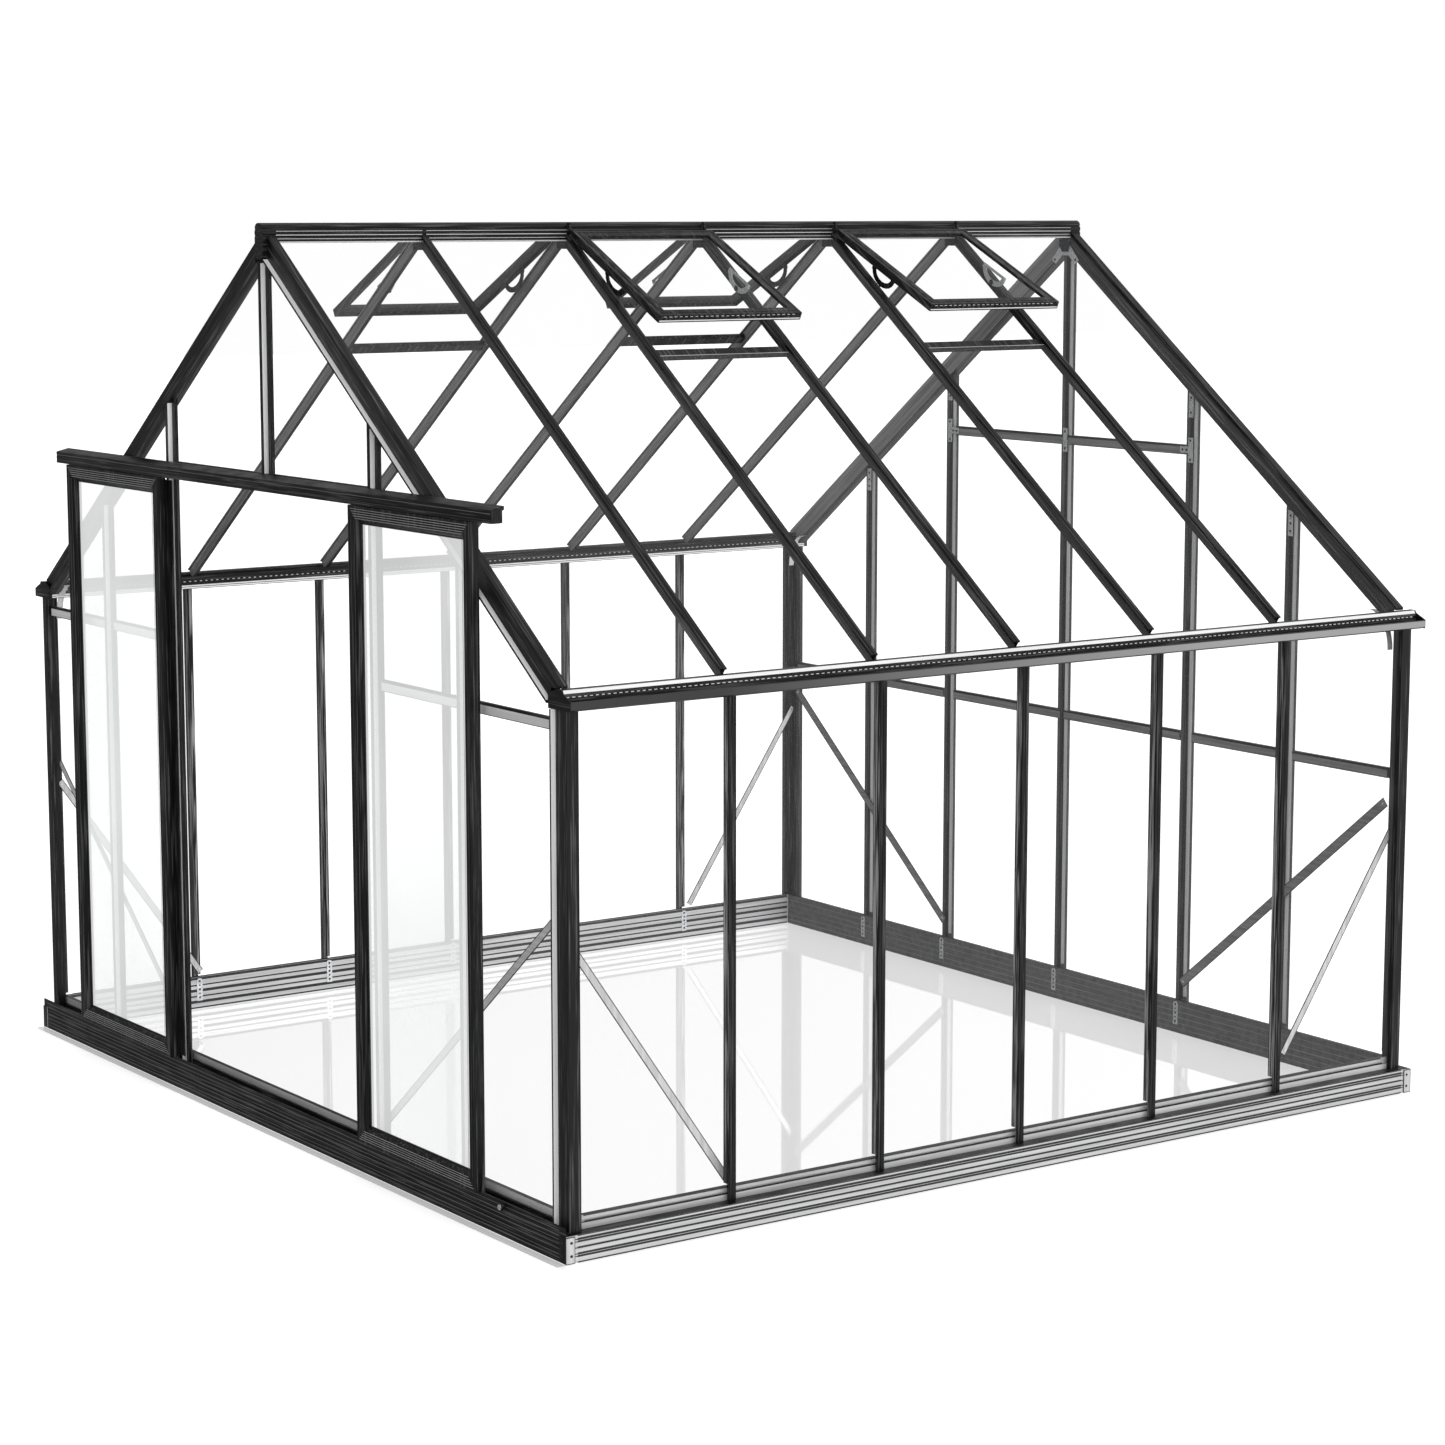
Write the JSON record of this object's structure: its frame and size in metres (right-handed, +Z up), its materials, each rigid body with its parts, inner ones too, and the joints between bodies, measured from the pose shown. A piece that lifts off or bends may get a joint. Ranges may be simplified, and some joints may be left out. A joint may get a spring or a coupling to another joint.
{
  "type": "walk-in greenhouse",
  "caption": "Walk-in gable greenhouse in black coated aluminium and glass, with double sliding doors in the gable and hinged roof vents on both slopes.",
  "frame": {"origin": "on the ground, under the middle of the whole bounding box", "axes": "+Z up, +Y from the door gable to the rear gable along the ridge, +X to the right as seen from the doors"},
  "size_m": [4.024, 3.865, 3.293],
  "materials": {
    "base_corner_fl": "satin black coated aluminium profile",
    "base_corner_fr": "satin black coated aluminium profile",
    "base_corner_rl": "satin black coated aluminium profile",
    "base_corner_rr": "satin black coated aluminium profile",
    "base_rail_front": "satin black coated aluminium profile",
    "base_rail_left": "satin black coated aluminium profile",
    "base_rail_rear": "satin black coated aluminium profile",
    "base_rail_right": "satin black coated aluminium profile",
    "corner_post_fl": "satin black coated aluminium profile",
    "corner_post_fr": "satin black coated aluminium profile",
    "corner_post_rl": "satin black coated aluminium profile",
    "corner_post_rr": "satin black coated aluminium profile",
    "door_glass_left": "clear glazing with a slight white veil",
    "door_glass_right": "clear glazing with a slight white veil",
    "door_header": "satin black coated aluminium profile",
    "door_leaf_left": "satin black coated aluminium profile",
    "door_leaf_right": "satin black coated aluminium profile",
    "door_track": "satin black coated aluminium profile",
    "front_gable_bar_centre": "satin black coated aluminium profile",
    "front_gable_bars_left": "satin black coated aluminium profile",
    "front_gable_bars_right": "satin black coated aluminium profile",
    "gable_rafter_fl": "satin black coated aluminium profile",
    "gable_rafter_fr": "satin black coated aluminium profile",
    "gable_rafter_rl": "satin black coated aluminium profile",
    "gable_rafter_rr": "satin black coated aluminium profile",
    "glass_gable_front": "clear glazing with a slight white veil",
    "glass_gable_rear": "clear glazing with a slight white veil",
    "glass_roof_left": "clear glazing with a slight white veil",
    "glass_roof_right": "clear glazing with a slight white veil",
    "glass_wall_left": "clear glazing with a slight white veil",
    "glass_wall_right": "clear glazing with a slight white veil",
    "gutter_left": "satin black coated aluminium profile",
    "gutter_right": "satin black coated aluminium profile",
    "rear_gable_bars": "satin black coated aluminium profile",
    "ridge_beam": "satin black coated aluminium profile",
    "roof_bar_left_5": "satin black coated aluminium profile",
    "roof_bar_right_1": "satin black coated aluminium profile",
    "side_bar_left_1": "satin black coated aluminium profile",
    "side_bar_left_2": "satin black coated aluminium profile",
    "side_bar_left_3": "satin black coated aluminium profile",
    "side_bar_left_4": "satin black coated aluminium profile",
    "side_bar_left_5": "satin black coated aluminium profile",
    "side_bar_right_1": "satin black coated aluminium profile",
    "side_bar_right_2": "satin black coated aluminium profile",
    "side_bar_right_3": "satin black coated aluminium profile",
    "side_bar_right_4": "satin black coated aluminium profile",
    "side_bar_right_5": "satin black coated aluminium profile",
    "vent_frame_left_1": "satin black coated aluminium profile",
    "vent_frame_left_2": "satin black coated aluminium profile",
    "vent_frame_right_1": "satin black coated aluminium profile",
    "vent_frame_right_2": "satin black coated aluminium profile",
    "vent_glass_left_1": "clear glazing with a slight white veil",
    "vent_glass_left_2": "clear glazing with a slight white veil",
    "vent_glass_right_1": "clear glazing with a slight white veil",
    "vent_glass_right_2": "clear glazing with a slight white veil",
    "vent_trimmer_left_1": "satin black coated aluminium profile",
    "vent_trimmer_left_2": "satin black coated aluminium profile",
    "vent_trimmer_right_1": "satin black coated aluminium profile",
    "vent_trimmer_right_2": "satin black coated aluminium profile"
  },
  "bodies": {
    "house": {"base_corner_fl": "base_corner_fl", "base_corner_fr": "base_corner_fr", "base_corner_rl": "base_corner_rl", "base_corner_rr": "base_corner_rr", "base_rail_front": "base_rail_front", "base_rail_left": "base_rail_left", "base_rail_rear": "base_rail_rear", "base_rail_right": "base_rail_right", "corner_post_fl": "corner_post_fl", "corner_post_fr": "corner_post_fr", "corner_post_rl": "corner_post_rl", "corner_post_rr": "corner_post_rr", "door_header": "door_header", "door_track": "door_track", "front_gable_bar_centre": "front_gable_bar_centre", "front_gable_bars_left": "front_gable_bars_left", "front_gable_bars_right": "front_gable_bars_right", "gable_rafter_fl": "gable_rafter_fl", "gable_rafter_fr": "gable_rafter_fr", "gable_rafter_rl": "gable_rafter_rl", "gable_rafter_rr": "gable_rafter_rr", "glass_gable_front": "glass_gable_front", "glass_gable_rear": "glass_gable_rear", "glass_roof_left": "glass_roof_left", "glass_roof_right": "glass_roof_right", "glass_wall_left": "glass_wall_left", "glass_wall_right": "glass_wall_right", "gutter_left": "gutter_left", "gutter_right": "gutter_right", "rear_gable_bars": "rear_gable_bars", "ridge_beam": "ridge_beam", "roof_bar_left_5": "roof_bar_left_5", "roof_bar_right_1": "roof_bar_right_1", "side_bar_left_1": "side_bar_left_1", "side_bar_left_2": "side_bar_left_2", "side_bar_left_3": "side_bar_left_3", "side_bar_left_4": "side_bar_left_4", "side_bar_left_5": "side_bar_left_5", "side_bar_right_1": "side_bar_right_1", "side_bar_right_2": "side_bar_right_2", "side_bar_right_3": "side_bar_right_3", "side_bar_right_4": "side_bar_right_4", "side_bar_right_5": "side_bar_right_5", "vent_trimmer_left_1": "vent_trimmer_left_1", "vent_trimmer_left_2": "vent_trimmer_left_2", "vent_trimmer_right_1": "vent_trimmer_right_1", "vent_trimmer_right_2": "vent_trimmer_right_2"},
    "door_left": {"door_leaf_left": "door_leaf_left", "door_glass_left": "door_glass_left"},
    "door_right": {"door_leaf_right": "door_leaf_right", "door_glass_right": "door_glass_right"},
    "vent_left_1": {"vent_frame_left_1": "vent_frame_left_1", "vent_glass_left_1": "vent_glass_left_1"},
    "vent_left_2": {"vent_frame_left_2": "vent_frame_left_2", "vent_glass_left_2": "vent_glass_left_2"},
    "vent_right_1": {"vent_frame_right_1": "vent_frame_right_1", "vent_glass_right_1": "vent_glass_right_1"},
    "vent_right_2": {"vent_frame_right_2": "vent_frame_right_2", "vent_glass_right_2": "vent_glass_right_2"}
  },
  "joints": [
    {"name": "door_left_slide", "type": "slide", "parent": "house", "child": "door_left", "axis": [-1, 0, 0], "range_m": [-0.7585, 0.04]},
    {"name": "door_right_slide", "type": "slide", "parent": "house", "child": "door_right", "axis": [1, 0, 0], "range_m": [-0.6985, 0.1]},
    {"name": "vent_right_1_hinge", "type": "hinge", "parent": "house", "child": "vent_right_1", "pos_m": [0.05, -0.2925, 3.23713], "axis": [0, -1, 0], "range_deg": [-9, 21]},
    {"name": "vent_right_2_hinge", "type": "hinge", "parent": "house", "child": "vent_right_2", "pos_m": [0.05, 0.9475, 3.23713], "axis": [0, -1, 0], "range_deg": [-11, 19]},
    {"name": "vent_left_1_hinge", "type": "hinge", "parent": "house", "child": "vent_left_1", "pos_m": [-0.05, -0.9125, 3.23713], "axis": [0, 1, 0], "range_deg": [-9, 21]},
    {"name": "vent_left_2_hinge", "type": "hinge", "parent": "house", "child": "vent_left_2", "pos_m": [-0.05, 0.3275, 3.23713], "axis": [0, 1, 0], "range_deg": [-10, 20]}
  ]
}
